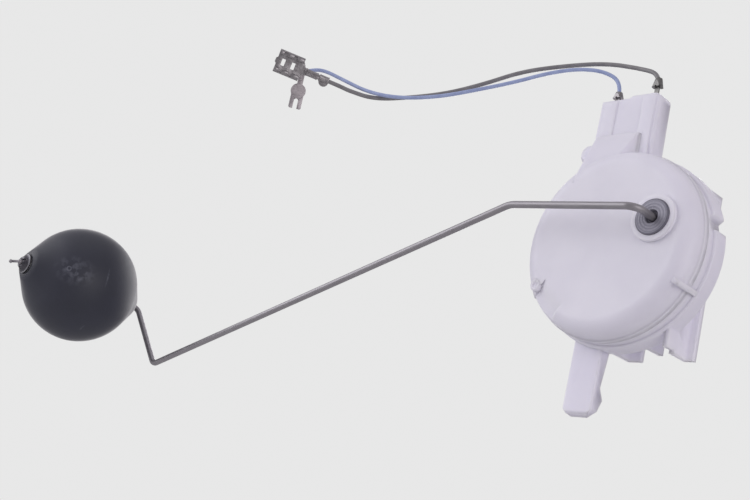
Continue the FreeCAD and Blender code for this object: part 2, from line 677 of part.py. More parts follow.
def strip(x, low, top, crimpZ, crimpHigh, leadR, seat):
    """Contact strip up the neck, with its tab and crimp above the neck."""
    y0, y1 = stripY - stripThick / 2, stripY + stripThick / 2
    body = box(x - stripWide / 2, x + stripWide / 2, y0, y1, low, top - tabLow - 0.3)
    tab = box(x - tabWide / 2, x + tabWide / 2, y0, y1, top - tabLow - 1, crimpZ + 0.6)
    crimp = Part.makeCone(crimpLowR, crimpTopR, crimpHigh, Vector(x, stripY, crimpZ), Z)
    half = crimpLowR * crimpFlat
    crimp = crimp.common(box(x - 5, x + 5, stripY - half, stripY + half, crimpZ - 1, crimpZ + crimpHigh + 1))
    bore = Part.makeCylinder(leadR, crimpHigh, Vector(x, stripY, seat), Z)
    saddle = Part.makeCylinder(0.35, 4 * crimpLowR, Vector(x, stripY - 2 * crimpLowR, crimpZ), Y)
    return union(body, tab, crimp.cut([bore, saddle]))


def signalStrip():
    """Strip up the neck and its link down to the eye under the card's upper screw."""
    eye = polar(wiperReach, cardAngles()[0], pivotX, pivotZ)
    knee = Vector(signalX, 0, linkTop - stripWide / 2)
    toward = math.degrees(math.atan2(eye.z - knee.z, eye.x - knee.x))
    y0, y1 = stripY - stripThick / 2, stripY + stripThick / 2
    link = along(toward, 0, math.hypot(eye.x - knee.x, eye.z - knee.z), stripWide, y0, y1, knee.x, knee.z)
    base = strip(signalX, knee.z, neckTopLow, signalCrimpZ, signalCrimpHigh, blueR, blueRoute[0][2])
    whole = union(base, link, rod(stripWide / 2, knee.x, knee.z, y0, y1), rod(screwHeadR, eye.x, eye.z, y0, y1))
    return whole.cut(rod(screwR, eye.x, eye.z, y0 - 1, y1 + 1))


def groundStrip():
    root = springRoot()
    y0 = stripY - stripThick / 2
    link = box(groundX - stripWide / 2, root.x, y0, y0 + stripThick, root.z - 1.2, root.z + 1.2)
    ring = rod(cardPostR, root.x, root.z, y0, y0 + stripThick)
    base = strip(groundX, root.z - 1.2, neckTopHigh, groundCrimpZ, groundCrimpHigh, blackR, blackRoute[0][2])
    return union(base, link, ring).cut(rod(screwR, root.x, root.z, y0 - 1, y0 + 2))


def makeAll():
    nodes = {"rear_housing": housing(), "front_cover": cover(), "front_bush": frontBush(), "rear_bush": rearBush(),
             "float_arm": floatArm(), "float_ball": floatBall(), "push_nut": pushNut(), "rotor_hub": rotorHub()}
    y0 = hubFrontY - endFloat / 2 - washerThick
    nodes["thrust_washer"] = ring(washerR, wireR + runClear, y0, y0 + washerThick)
    nodes["collector_ring"] = ring(collectorR, wireR, hubBackY, hubBackY + collectorThick)
    y0 = hubBackY + collectorThick
    nodes["retaining_clip"] = ring(clipR, wireR, y0, y0 + clipThick).cut(
        along(-20, 0, clipR + 1, 1.2, y0 - 1, y0 + 2, pivotX, pivotZ))
    nodes["wiper_blade"] = wiperBlade()
    nodes["wiper_contact"] = wiperContact()
    nodes["resistor_card"] = resistorCard()
    nodes["resistor_winding"] = winding()
    nodes["card_screw_upper"] = cardScrew(cardAngles()[0], stripThick)
    nodes["card_screw_lower"] = cardScrew(cardAngles()[1], 0)
    nodes["ground_spring"] = groundSpring()
    nodes["spring_rivet"] = springRivet()
    nodes["signal_strip"] = signalStrip()
    nodes["ground_strip"] = groundStrip()
    nodes["black_lead"] = lead("black_lead", blackRoute, blackR)
    nodes["blue_lead"] = lead("blue_lead", blueRoute, blueR)
    nodes["spade_terminal"] = spade()
    nodes["fork_terminal"] = fork()
    return nodes


def spade():
    half, long = spadeWide / 2, spadeLong / 2
    floorZ = -curlR
    rail = half - curlR
    floor = box(-long, long, -rail, rail, floorZ, floorZ + sheet)
    nose = outline([(-long, rail * 0.6, floorZ), (-long - noseLong, rail * 0.35, floorZ),
                    (-long - noseLong, -rail * 0.35, floorZ), (-long, -rail * 0.6, floorZ)])
    parts = [nose.extrude(Vector(0, 0, sheet))]
    for side in (-1, 1):
        ring = Part.makeCylinder(curlR, 2 * long, Vector(-long, side * rail, 0), X).cut(
            Part.makeCylinder(curlR - sheet, 2 * long + 2, Vector(-long - 1, side * rail, 0), X))
        keepOut = box(-long - 1, long + 1, -4, 4, -0.7, 0.75)
        keepOut.translate(Vector(0, side * (rail - 4), 0))
        parts.append(ring.cut(keepOut))
    body = floor.fuse(parts)
    cuts = []
    for x in windowPlaces:
        cuts.append(box(x - windowLong / 2, x + windowLong / 2, -windowWide / 2, windowWide / 2, -3, 3))
        for side in (-1, 1):
            middle = side * (rail - sheet / 2)
            cuts.append(box(x - curlCut / 2, x + curlCut / 2, middle - curlCut, middle + curlCut, 0.1, 3))
    body = body.cut(cuts)
    neckPlate = outline([(long - 0.3, -rail, floorZ), (long + 1.2, -1.2, floorZ), (long + 3, -1.0, floorZ),
                         (long + 3, 1.0, floorZ), (long + 1.2, 1.2, floorZ), (long - 0.3, rail, floorZ)])
    neckPlate = neckPlate.extrude(Vector(0, 0, sheet))
    barrel = Part.makeCylinder(1.1, 3.4, Vector(long + 1.9, 0, 0), X)
    crease = Part.makeCylinder(0.45, 4, Vector(long + 1.6, 0, 1.2), X)
    link = Part.makeCylinder(0.85, spadeSeat - long - 5.0, Vector(long + 5.1, 0, 0), X)
    hold = Part.makeCylinder(blackR + 0.45, 3.6, Vector(spadeSeat - 0.2, 0, 0), X)
    # the crimp's folded wings stand out on one side
    wing = Part.makeCylinder(wingR, 2 * sheet, Vector(spadeSeat + wingR, -0.8, -sheet), Z)
    wing = wing.common(box(spadeSeat, spadeSeat + 4, -wingR - 1, 0, -1, 1))
    shape = union(body, neckPlate, barrel.cut(crease), link, hold, wing)
    shape = shape.cut(Part.makeCylinder(blackR, 6, Vector(spadeSeat, 0, 0), X))
    end = Vector(*blackRoute[-1])
    axis = Vector(spadeAlong).normalize()
    return framed(shape, end - axis * spadeSeat, spadeAlong, faceNormal)


def fork():
    end, before = Vector(*blueRoute[-1]), Vector(*blueRoute[-2])
    axis = (before - end).normalize()
    hold = Part.makeCylinder(blueR + 0.4, 2.6, end - axis * 1.2, axis)
    hold = hold.cut(Part.makeCylinder(blueR, 6, end, axis))
    root = end - axis * 0.8
    stem = box(-0.6, forkStem + 0.6, -forkStemWide / 2, forkStemWide / 2, -forkPlate / 2, forkPlate / 2)
    centre = Vector(forkStem + forkR - 0.4, 0, -forkPlate / 2)
    disc = Part.makeCylinder(forkR, forkPlate, centre, Z)
    out = prongPitch / 2 + prongWide / 2
    prongs = box(forkStem + forkR, forkLong, -out, out, -forkPlate / 2, forkPlate / 2)
    prongs = prongs.makeFillet(0.6, [e for e in prongs.Edges if e.BoundBox.ZLength > forkPlate - 0.01
                                     and e.BoundBox.XMin > forkLong - 0.01])
    gap = prongPitch - prongWide
    deep = forkStem + forkDisc + gap / 2
    slot = box(deep, forkLong + 1, -gap / 2, gap / 2, -1, 1).fuse(
        Part.makeCylinder(gap / 2, 2, Vector(deep, 0, -1), Z))
    plate = union(stem, disc, prongs).cut(slot)
    plate = framed(plate, root, forkDown, faceNormal)
    return union(hold, plate)


def main():
    os.makedirs("parts", exist_ok=True)
    for name, shape in makeAll().items():
        solids = shape.Solids
        if not shape.isValid() or not solids:
            raise SystemExit("bad shape: " + name)
        whole = solids[0] if len(solids) == 1 else Part.makeCompound(solids)
        whole.exportStep("parts/" + name + ".step")
        print(name, len(solids), "solid(s), %.1f mm3" % whole.Volume)


main()
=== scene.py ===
import math

import bmesh
import bpy
from mathutils import Matrix, Vector


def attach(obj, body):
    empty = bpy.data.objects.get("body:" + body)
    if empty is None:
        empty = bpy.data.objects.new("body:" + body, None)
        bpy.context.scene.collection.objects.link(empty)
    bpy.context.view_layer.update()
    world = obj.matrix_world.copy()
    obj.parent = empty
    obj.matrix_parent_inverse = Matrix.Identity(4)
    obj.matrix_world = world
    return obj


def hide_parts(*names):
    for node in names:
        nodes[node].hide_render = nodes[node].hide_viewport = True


mm = 0.001
weld = 0.004 * mm            # points nearer to each other than this become one
softAngle = 50               # degrees between two faces of a CAD copy that make their edge sharp
sharpAngle = 40              # the same for the meshes made here
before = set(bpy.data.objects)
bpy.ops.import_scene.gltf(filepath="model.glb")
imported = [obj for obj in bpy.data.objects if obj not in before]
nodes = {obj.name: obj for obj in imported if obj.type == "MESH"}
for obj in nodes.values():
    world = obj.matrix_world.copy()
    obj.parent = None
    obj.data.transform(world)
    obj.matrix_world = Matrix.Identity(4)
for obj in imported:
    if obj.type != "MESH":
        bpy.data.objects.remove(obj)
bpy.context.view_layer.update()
print("frame loaded,", len(nodes), "nodes")


# camera, backdrop and light

view = {
    "location": (0.2049, -0.29018, -0.11065),
    "right": (0.6914, 0.6853, 0.2288),
    "up": (0.0361, -0.3491, 0.9364),
    "back": (0.7216, -0.6392, -0.2661),
    "lens": 57.6,
    "sensor": 36.0,
    "near": 0.01,
    "far": 20,
}


def makeCamera():
    data = bpy.data.cameras.new("camera")
    data.lens = view["lens"]
    data.sensor_width = view["sensor"]
    data.clip_start = view["near"]
    data.clip_end = view["far"]
    camera = bpy.data.objects.new("camera", data)
    turn = Matrix((view["right"], view["up"], view["back"])).transposed()
    camera.matrix_world = Matrix.Translation(view["location"]) @ turn.to_4x4()
    bpy.context.scene.collection.objects.link(camera)
    bpy.context.scene.camera = camera


room = {
    "paper": (0.805, 0.805, 0.805),      # what the camera sees behind the object
    "glow": (0.44, 0.425, 0.45),
    "floorZ": -0.32,
    "floorSize": 8.0,
    "floorColour": (0.6, 0.6, 0.6),
    "floorRoughness": 0.9,
    "lamps": [
        # name, place, aim, size, watts, colour
        ("keyLamp", (-0.80, -0.74, 0.34), (-0.06, -0.03, 0.0), 1.0, 5.5, (0.99, 0.99, 1.0)),
        ("sideLamp", (0.95, -0.26, 0.04), (0, -0.02, 0.0), 0.8, 3.0, (1.0, 0.97, 0.97)),
        ("rimLamp", (-0.29, 0.36, 0.14), (-0.22, -0.06, -0.02), 0.4, 1.1, (1.0, 0.98, 0.98)),
        ("topLamp", (-0.1, -0.2, 0.95), (0, 0, 0), 0.9, 0.8, (1.0, 1.0, 1.0)),
    ],
}


def makeWorld():
    world = bpy.data.worlds.new("paleRoom")
    world.use_nodes = True
    tree = world.node_tree
    light = tree.nodes["Background"]
    light.inputs["Color"].default_value = (*room["glow"], 1)
    paper = tree.nodes.new("ShaderNodeBackground")
    paper.inputs["Color"].default_value = (*room["paper"], 1)
    path = tree.nodes.new("ShaderNodeLightPath")
    mix = tree.nodes.new("ShaderNodeMixShader")
    tree.links.new(path.outputs["Is Camera Ray"], mix.inputs["Fac"])
    tree.links.new(light.outputs["Background"], mix.inputs[1])
    tree.links.new(paper.outputs["Background"], mix.inputs[2])
    tree.links.new(mix.outputs["Shader"], tree.nodes["World Output"].inputs["Surface"])
    bpy.context.scene.world = world
    bpy.context.scene.view_settings.view_transform = "Standard"


def makeFloor():
    bm = bmesh.new()
    bmesh.ops.create_grid(bm, x_segments=1, y_segments=1, size=room["floorSize"] / 2)
    bmesh.ops.translate(bm, verts=bm.verts, vec=(0, 0, room["floorZ"]))
    floor = meshObject("floor", bm)
    material, tree, shader = newMaterial("paper", room["floorRoughness"])
    shader.inputs["Base Color"].default_value = (*room["floorColour"], 1)
    floor.data.materials.append(material)


def makeLamps():
    for name, place, aim, size, watts, colour in room["lamps"]:
        light = bpy.data.lights.new(name, "AREA")
        light.shape = "DISK"
        light.size = size
        light.energy = watts
        light.color = colour
        lamp = bpy.data.objects.new(name, light)
        lamp.location = place
        lamp.rotation_euler = (Vector(place) - Vector(aim)).to_track_quat("Z", "Y").to_euler()
        lamp.visible_camera = False
        bpy.context.scene.collection.objects.link(lamp)


# mesh helpers

def meshObject(name, bm):
    mesh = bpy.data.meshes.new(name)
    bm.to_mesh(mesh)
    bm.free()
    piece = bpy.data.objects.new(name, mesh)
    bpy.context.scene.collection.objects.link(piece)
    return piece


def smooth(bm):
    for face in bm.faces:
        face.smooth = True


def vertsOf(parts):
    return [part for part in parts if isinstance(part, bmesh.types.BMVert)]


# node material helpers

noiseSpan = (0.3, 0.7)       # most values of a noise lie between these


def newMaterial(name, roughness, metallic=0.0):
    material = bpy.data.materials.new(name)
    material.use_nodes = True
    shader = material.node_tree.nodes["Principled BSDF"]
    shader.inputs["Roughness"].default_value = roughness
    shader.inputs["Metallic"].default_value = metallic
    return material, material.node_tree, shader


def noiseOn(tree, scale, detail):
    place = tree.nodes.new("ShaderNodeTexCoord")
    noise = tree.nodes.new("ShaderNodeTexNoise")
    noise.inputs["Scale"].default_value = scale
    noise.inputs["Detail"].default_value = detail
    tree.links.new(place.outputs["Object"], noise.inputs["Vector"])
    return noise.outputs["Fac"]


def mappedOn(tree, texture, place, half=(1 / mm, 1 / mm, 1 / mm), turn=(0, 0, 0)):
    # lays a texture about a place, in mm and degrees; half its width along each axis is a metre if not said
    where = tree.nodes.new("ShaderNodeTexCoord")
    mapping = tree.nodes.new("ShaderNodeMapping")
    mapping.vector_type = "TEXTURE"
    mapping.inputs["Location"].default_value = Vector(place) * mm
    mapping.inputs["Rotation"].default_value = [math.radians(angle) for angle in turn]
    mapping.inputs["Scale"].default_value = Vector(half) * mm
    tree.links.new(where.outputs["Object"], mapping.inputs["Vector"])
    tree.links.new(mapping.outputs["Vector"], texture.inputs["Vector"])
    return texture.outputs["Fac"]


def spotOn(tree, place, half, turn=(0, 0, 0)):
    # 1 in the middle of a small blurred spot, 0 outside it
    blob = tree.nodes.new("ShaderNodeTexGradient")
    blob.gradient_type = "SPHERICAL"
    return mappedOn(tree, blob, place, half, turn)


def ringOn(tree, place, radius, wide):
    # 1 on a thin round line about a place
    far = (radius + wide) * 2
    line = tree.nodes.new("ShaderNodeMath")
    line.operation = "COMPARE"
    line.inputs[1].default_value = 1 - radius / far
    line.inputs[2].default_value = wide / 2 / far
    tree.links.new(spotOn(tree, place, (far, far, far)), line.inputs[0])
    return line.outputs["Value"]


def ramp(tree, value, low, high, span=noiseSpan):
    node = tree.nodes.new("ShaderNodeValToRGB")
    for element, place, colour in zip(node.color_ramp.elements, span, (low, high)):
        element.position = place
        element.color = (*colour, 1)
    tree.links.new(value, node.inputs["Fac"])
    return node.outputs["Color"]


def remap(tree, value, low, high, span=noiseSpan):
    node = tree.nodes.new("ShaderNodeMapRange")
    for name, number in zip(("From Min", "From Max", "To Min", "To Max"), (*span, low, high)):
        node.inputs[name].default_value = number
    tree.links.new(value, node.inputs["Value"])
    return node.outputs["Result"]


def multiply(tree, first, second):
    node = tree.nodes.new("ShaderNodeMath")
    node.operation = "MULTIPLY"
    node.use_clamp = True
    tree.links.new(first, node.inputs[0])
    tree.links.new(second, node.inputs[1])
    return node.outputs["Value"]


def blendIn(tree, amount, below, colour):
    node = tree.nodes.new("ShaderNodeMixRGB")
    node.inputs["Color2"].default_value = (*colour, 1)
    tree.links.new(amount, node.inputs["Fac"])
    tree.links.new(below, node.inputs["Color1"])
    return node.outputs["Color"]


def bumpOn(tree, shader, value, strength, distance):
    node = tree.nodes.new("ShaderNodeBump")
    node.inputs["Strength"].default_value = strength
    node.inputs["Distance"].default_value = distance
    tree.links.new(value, node.inputs["Height"])
    tree.links.new(node.outputs["Normal"], shader.inputs["Normal"])


# plain surfaces, each with a grain between two colours
# grain is the scale and detail of a noise, uneven what it adds to the roughness, bump its strength and depth

metalUneven = (-0.05, 0.07)
metalDepth = 0.00003
surfaces = {
    "drawnSteel": {
        "colours": ((0.29, 0.276, 0.298), (0.34, 0.326, 0.348)),
        "roughness": 0.42, "metallic": 0.6, "grain": (250, 4), "uneven": metalUneven,
    },
    "platedSteel": {
        "colours": ((0.15, 0.145, 0.16), (0.22, 0.21, 0.23)),
        "roughness": 0.34, "metallic": 1.0, "grain": (900, 4),
        "uneven": metalUneven, "bump": (0.06, metalDepth),
    },
    "tinnedBrass": {
        "colours": ((0.26, 0.245, 0.255), (0.40, 0.385, 0.395)),
        "roughness": 0.42, "metallic": 1.0, "grain": (1400, 4),
        "uneven": metalUneven, "bump": (0.15, metalDepth),
    },
    "dullTin": {
        "colours": ((0.14, 0.138, 0.135), (0.27, 0.265, 0.26)),
        "roughness": 0.42, "metallic": 1.0, "grain": (1400, 4),
        "uneven": metalUneven, "bump": (0.15, metalDepth),
    },
    "paleTin": {
        "colours": ((0.42, 0.385, 0.405), (0.54, 0.50, 0.52)),
        "roughness": 0.45, "metallic": 1.0, "grain": (1400, 4),
        "uneven": metalUneven, "bump": (0.08, metalDepth),
    },
    "rolledBrass": {
        "colours": ((0.45, 0.32, 0.12), (0.62, 0.47, 0.22)),
        "roughness": 0.35, "metallic": 1.0, "grain": (900, 3),
    },
    "cardLaminate": {
        "colours": ((0.16, 0.08, 0.03), (0.24, 0.13, 0.05)),
        "roughness": 0.6, "metallic": 0.0, "grain": (500, 3),
    },
    "blackInsulation": {
        "colours": ((0.20, 0.193, 0.205), (0.245, 0.238, 0.25)),
        "roughness": 0.4, "metallic": 0.0, "grain": (350, 2), "span": (0.35, 0.65), "bump": (0.1, 0.0001),
    },
    "blueInsulation": {
        "colours": ((0.31, 0.37, 0.61), (0.37, 0.44, 0.69)),
        "roughness": 0.4, "metallic": 0.0, "grain": (350, 2), "span": (0.35, 0.65), "bump": (0.1, 0.0001),
    },
}


def surface(name):
    looks = surfaces[name]
    roughness = looks["roughness"]
    material, tree, shader = newMaterial(name, roughness, looks["metallic"])
    grain = noiseOn(tree, *looks["grain"])
    colour = ramp(tree, grain, *looks["colours"], looks.get("span", noiseSpan))
    tree.links.new(colour, shader.inputs["Base Color"])
    if "uneven" in looks:
        less, more = looks["uneven"]
        tree.links.new(remap(tree, grain, roughness + less, roughness + more), shader.inputs["Roughness"])
    if "bump" in looks:
        bumpOn(tree, shader, grain, *looks["bump"])
    return material


milky = {
    "dark": (0.78, 0.76, 0.86),
    "light": (0.82, 0.80, 0.90),
    "cloud": (60, 4),
    "cloudSpan": (0.35, 0.65),
    "glow": 0.6,
    "glowColour": (1.0, 1.0, 1.0),
    "glowDepth": 0.0022,
    "roughness": 0.46,
    "uneven": (0.38, 0.5),
    "grain": (900, 2),
    "bump": (0.12, 0.00008),
}


def milkyPlastic():
    material, tree, shader = newMaterial("milkyPlastic", milky["roughness"])
    cloud = noiseOn(tree, *milky["cloud"])
    colour = ramp(tree, cloud, milky["dark"], milky["light"], milky["cloudSpan"])
    tree.links.new(colour, shader.inputs["Base Color"])
    shader.inputs["Subsurface Weight"].default_value = milky["glow"]
    shader.inputs["Subsurface Radius"].default_value = milky["glowColour"]
    shader.inputs["Subsurface Scale"].default_value = milky["glowDepth"]
    grain = noiseOn(tree, *milky["grain"])
    tree.links.new(remap(tree, grain, *milky["uneven"]), shader.inputs["Roughness"])
    bumpOn(tree, shader, grain, *milky["bump"])
    return material


waveLength = math.tau / 20   # of a wave texture at scale 1
bush = {
    "middle": (16.3, -25.8, 5.3),
    "low": (0.24, 0.235, 0.285),
    "high": (0.32, 0.31, 0.37),
    "metallic": 0.4,
    "roughness": 0.5,
    "grain": (1500, 4),
    "groove": 0.85,          # pitch of the turning marks
    "mark": (0.15, 0.145, 0.185),
    "markSpan": (0.55, 1.0),     # part of a groove that is dark
    "patchy": (0.2, 0.8),    # least and most of the marks' colour
    "worn": (0.5, 1.0),      # least and most of their depth
    "bump": (0.8, 0.0001),
    "edge": (5.3, 0.5),      # radius and width of the dark line at its edge
}


def bushMetal():
    material, tree, shader = newMaterial("bushMetal", bush["roughness"], bush["metallic"])
    grain = noiseOn(tree, *bush["grain"])
    colour = ramp(tree, grain, bush["low"], bush["high"])
    rings = tree.nodes.new("ShaderNodeTexWave")
    rings.wave_type = "RINGS"
    rings.rings_direction = "Y"
    rings.inputs["Scale"].default_value = waveLength / (bush["groove"] * mm)
    lines = mappedOn(tree, rings, bush["middle"])
    dark = remap(tree, lines, 0.0, 1.0, bush["markSpan"])
    colour = blendIn(tree, multiply(tree, dark, remap(tree, grain, *bush["patchy"])), colour, bush["mark"])
    colour = blendIn(tree, ringOn(tree, bush["middle"], *bush["edge"]), colour, bush["mark"])
    tree.links.new(colour, shader.inputs["Base Color"])
    bumpOn(tree, shader, multiply(tree, lines, remap(tree, grain, *bush["worn"])), *bush["bump"])
    return material


nut = {
    "middle": (-219.3, -88.0, -23.9),
    "low": (0.07, 0.068, 0.08),
    "high": (0.13, 0.125, 0.14),
    "roughness": 0.36,
    "grain": (900, 4),
    "rim": (3.85, 0.36),     # radius and width of the painted highlight along its rim
    # colour of that painted highlight
    "highlightColour": (0.36, 0.36, 0.38),
    "bump": (0.06, metalDepth),
}


def nutSteel():
    material, tree, shader = newMaterial("nutSteel", nut["roughness"], 1.0)
    grain = noiseOn(tree, *nut["grain"])
    colour = ramp(tree, grain, nut["low"], nut["high"])
    # painted highlight: a lighter ring of colour on the nut's rim, where the light catches its edge
    rim = ringOn(tree, nut["middle"], *nut["rim"])
    tree.links.new(blendIn(tree, rim, colour, nut["highlightColour"]), shader.inputs["Base Color"])
    bumpOn(tree, shader, grain, *nut["bump"])
    return material


foam = {
    "dark": (0.023, 0.025, 0.040),
    "light": (0.032, 0.034, 0.054),
    "skin": (55, 5),
    "skinSpan": (0.4, 0.75),
    "grain": (1100, 3),
    "bump": (0.25, 0.00012),
    "roughness": 0.56,
    "uneven": 0.06,
    "edge": 0.8,             # pale fuzz at a low angle
    "edgeRoughness": 0.25,
    "scuff": (0.125, 0.13, 0.165),
    # place, half width along each axis, turn, all in mm and degrees
    "scuffs": [
        ((-197.3, -63.2, -21.5), (0.9, 0.5, 4.6), (0, -3, 0)),
        ((-206.2, -62.6, -42.2), (0.8, 0.6, 2.6), (0, 40, 0)),
    ],
    "scuffStrength": (0.1, 0.8),
    "smears": [
        ((-201.4, -75.7, -22.9), (8.0, 10.0, 6.5), (0, 0, 0)),
        ((-200.0, -73.6, -24.4), (3.0, 4.0, 3.0), (0, 0, 0)),
    ],
    "blotch": (420, 5),
    "blotchSpan": (0.45, 0.66),
    "blotchStrength": (0.0, 0.85),
    "ringMark": ((-202.6, -77.2, -22.8), 0.95, 0.4),
    "ringStrength": (0.4, 0.9),
}


def floatFoam():
    material, tree, shader = newMaterial("floatFoam", foam["roughness"])
    skin = noiseOn(tree, *foam["skin"])
    grain = noiseOn(tree, *foam["grain"])
    colour = ramp(tree, skin, foam["dark"], foam["light"], foam["skinSpan"])
    scuffing = remap(tree, grain, *foam["scuffStrength"])
    blotches = remap(tree, noiseOn(tree, *foam["blotch"]), *foam["blotchStrength"], foam["blotchSpan"])
    marks = [(spotOn(tree, *spot), scuffing) for spot in foam["scuffs"]]
    marks += [(spotOn(tree, *spot), blotches) for spot in foam["smears"]]
    marks.append((ringOn(tree, *foam["ringMark"]), remap(tree, grain, *foam["ringStrength"])))
    for shape, strength in marks:
        colour = blendIn(tree, multiply(tree, shape, strength), colour, foam["scuff"])
    tree.links.new(colour, shader.inputs["Base Color"])
    uneven = remap(tree, skin, foam["roughness"] - foam["uneven"], foam["roughness"] + foam["uneven"])
    tree.links.new(uneven, shader.inputs["Roughness"])
    shader.inputs["Sheen Weight"].default_value = foam["edge"]
    shader.inputs["Sheen Roughness"].default_value = foam["edgeRoughness"]
    bumpOn(tree, shader, grain, *foam["bump"])
    return material


# copies of the CAD pieces with smooth shading

def dressed(node, name, material, body):
    mesh = nodes[node].data.copy()
    bm = bmesh.new()
    bm.from_mesh(mesh)
    bmesh.ops.remove_doubles(bm, verts=bm.verts, dist=weld)
    smooth(bm)
    piece = meshObject(name, bm)
    piece.data.set_sharp_from_angle(angle=math.radians(softAngle))
    flats = piece.modifiers.new("flats", "WEIGHTED_NORMAL")
    flats.keep_sharp = True
    piece.data.materials.clear()
    piece.data.materials.append(material)
    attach(piece, body)
    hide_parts(node)
    return piece


# small moulded details of the cover: a lug at its left edge and the wedge behind its shoulder

lug = {
    "middle": (-21.7, 0, -13.7),
    "turns": 36,
    # radius and place along Y, from its dimple to its foot in the cover
    "profile": [(0.0, -23.7), (0.6, -23.7), (0.9, -24.0), (1.4, -24.1), (1.85, -23.85), (2.0, -23.3),
                (2.0, -22.15), (0.0, -22.15)],
}
shoulderRib = {
    "corners": [(0.2, -16.62), (1.0, -15.45), (-0.6, -15.45)],
    "low": 29.0,
    "high": 36.8,
}


def makeDetail(name, bm, material):
    bmesh.ops.recalc_face_normals(bm, faces=bm.faces)
    piece = meshObject(name, bm)
    piece.data.set_sharp_from_angle(angle=math.radians(sharpAngle))
    piece.data.materials.append(material)
    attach(piece, "housing")


def makeLug(material):
    bm = bmesh.new()
    verts = [bm.verts.new(Vector((radius, y, 0)) * mm) for radius, y in lug["profile"]]
    edges = [bm.edges.new(pair) for pair in zip(verts, verts[1:])]
    bmesh.ops.spin(bm, geom=verts + edges, cent=(0, 0, 0), axis=(0, 1, 0), angle=math.tau, steps=lug["turns"])
    bmesh.ops.remove_doubles(bm, verts=bm.verts, dist=weld)
    bmesh.ops.translate(bm, verts=bm.verts, vec=Vector(lug["middle"]) * mm)
    smooth(bm)
    makeDetail("edgeLug", bm, material)


def makeShoulderRib(material):
    bm = bmesh.new()
    low, high = shoulderRib["low"], shoulderRib["high"]
    foot = bm.faces.new([bm.verts.new(Vector((x, y, low)) * mm) for x, y in shoulderRib["corners"]])
    made = bmesh.ops.extrude_face_region(bm, geom=[foot])["geom"]
    bmesh.ops.translate(bm, verts=vertsOf(made), vec=(0, 0, (high - low) * mm))
    makeDetail("shoulderRib", bm, material)


# receptacle, folded from one strip in its own axes and then put on the end of the black lead

spade = {
    "end": (-97.7, -64.8, 47.1),
    "along": (0.53, 0.84, -0.10),
    "faces": (0.75, -0.53, -0.39),
    "seat": 11.0,            # middle of the box to the end of the lead
    "half": 4.45,            # half the box's length
    "rail": 2.95,            # middle of the box to the middle of each curl
    "curl": 0.85,
    "curlTurns": range(-90, 141, 23),    # degrees, from the floor round to the curl's lip
    "slack": 0.1,
    "windows": [(-2.8, -1.6), (0.7, 1.9)],
    "windowHalf": 1.15,
    "windowTop": 0.51,       # faces above this are open in a window too
    "nose": 0.5,
    "noseNarrow": 0.6,
    "neck": [(5.5, 0.42, 0.0), (6.4, 1.0, 0.3)],     # place, narrowing, rise
    # crimps: start, end, radius, depth of the crease between their wings
    "crimps": [(6.35, 10.3, 0.95, 0.45), (9.9, 11.4, 0.7, 0.2), (10.9, 14.3, 0.98, 0.12)],
    "crimpSides": 24,
    "creaseFrom": 0.9,       # height of the crease's foot, in radii
    "bell": 1.12,            # mouths of the crimps, wider than their middle
    "bellLength": 0.12,      # of a crimp's length
    "wing": (12.7, -0.8, 1.7),
    "wingSides": 28,
    "sheet": 0.4,
    "bevel": 0.05,
    "bevelAngle": 50,
}


def spadePlace():
    along = Vector(spade["along"]).normalized()
    across = Vector(spade["faces"]).cross(along).normalized()
    turn = Matrix((along, across, along.cross(across))).transposed().to_4x4()
    start = Vector(spade["end"]) - along * spade["seat"]
    return Matrix.Scale(mm, 4) @ Matrix.Translation(start) @ turn


def pulled(bm, edges, shift, stretch=(1, 1, 1)):
    # extrudes an open row of edges and gives the new row back
    made = bmesh.ops.extrude_edge_only(bm, edges=edges)["geom"]
    bmesh.ops.scale(bm, verts=vertsOf(made), vec=stretch)
    bmesh.ops.translate(bm, verts=vertsOf(made), vec=shift)
    return [part for part in made if isinstance(part, bmesh.types.BMEdge)]


def spadeSection():
    curl, rail, window = spade["curl"], spade["rail"], spade["windowHalf"]
    angles = [math.radians(turn) for turn in spade["curlTurns"]]
    right = [(rail + curl * math.cos(angle), curl * math.sin(angle)) for angle in angles]
    left = [(-y, z) for y, z in reversed(right)]
    return left + [(-window, -curl), (window, -curl)] + right


def floorEdges(row, half):
    # the edges of a row that lie in the box's floor, up to half a width from its middle
    side = half + spade["slack"]
    top = spade["slack"] - spade["curl"]
    return [edge for edge in row if all(abs(vert.co.y) < side and vert.co.z < top for vert in edge.verts)]


def inWindow(face):
    middle = face.calc_center_median()
    beside = any(start < middle.x < stop for start, stop in spade["windows"])
    inFloor = abs(middle.y) < spade["windowHalf"] and middle.z < 0
    return beside and (inFloor or middle.z > spade["windowTop"])


def spadeBox(bm):
    section = [bm.verts.new((-spade["half"], y, z)) for y, z in spadeSection()]
    row = [bm.edges.new(pair) for pair in zip(section, section[1:])]
    pulled(bm, floorEdges(row, spade["windowHalf"]), (-spade["nose"], 0, 0), (1, spade["noseNarrow"], 1))
    last = -spade["half"]
    for station in [x for window in spade["windows"] for x in window] + [spade["half"]]:
        row = pulled(bm, row, (station - last, 0, 0))
        last = station
    bmesh.ops.delete(bm, geom=[face for face in bm.faces if inWindow(face)], context="FACES")
    row = floorEdges(row, spade["rail"])
    for station, narrow, rise in spade["neck"]:
        row = pulled(bm, row, (station - last, 0, rise), (1, narrow, 1))
        last = station


